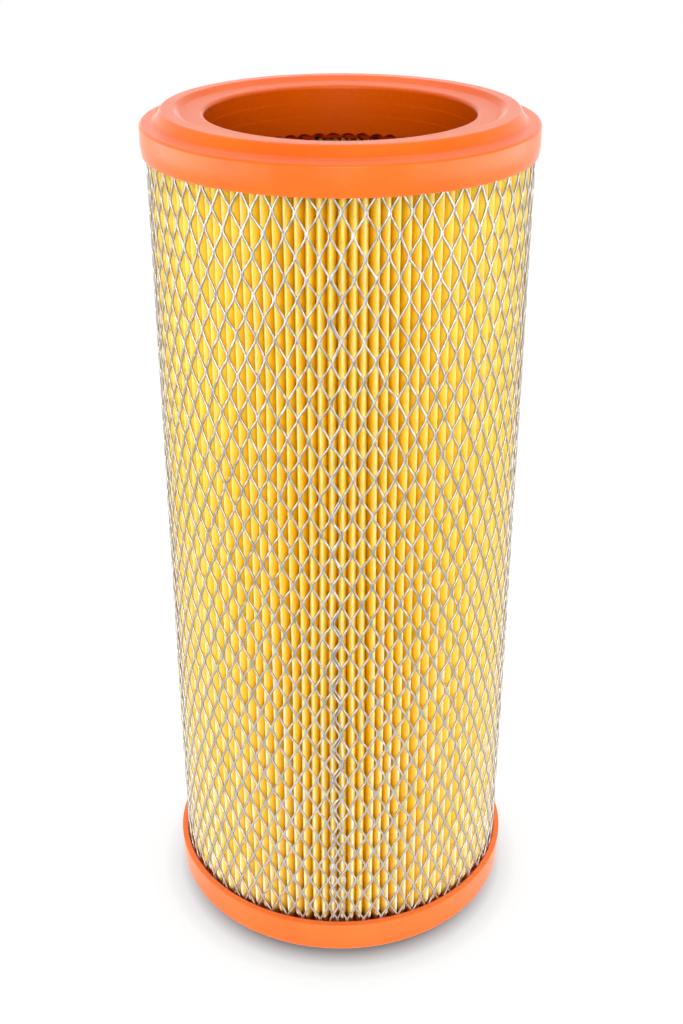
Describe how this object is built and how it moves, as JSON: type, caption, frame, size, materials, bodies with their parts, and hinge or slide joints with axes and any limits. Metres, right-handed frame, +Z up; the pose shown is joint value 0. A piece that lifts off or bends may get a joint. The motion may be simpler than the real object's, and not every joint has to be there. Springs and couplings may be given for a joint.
{
  "type": "engine air filter",
  "caption": "Cylindrical air filter element: folded yellow paper between soft orange end caps, inside an expanded steel tube, open at the top with a raised sealing lip.",
  "frame": {"origin": "centre of the underside, where the closed cap rests", "axes": "+Z up the axis of the element, out of the open cap"},
  "size_m": [0.1112, 0.1112, 0.2554],
  "materials": {
    "cap_polyurethane": "matt moulded skin with a faint sheen",
    "filter_paper": "matt resin-treated fibre",
    "zinc_steel": "dull zinc coating"
  },
  "bodies": {
    "root": {"top_cap": "cap_polyurethane", "bottom_cap": "cap_polyurethane", "pleat_pack": "filter_paper", "outer_screen": "zinc_steel", "inner_core": "zinc_steel"}
  },
  "joints": []
}
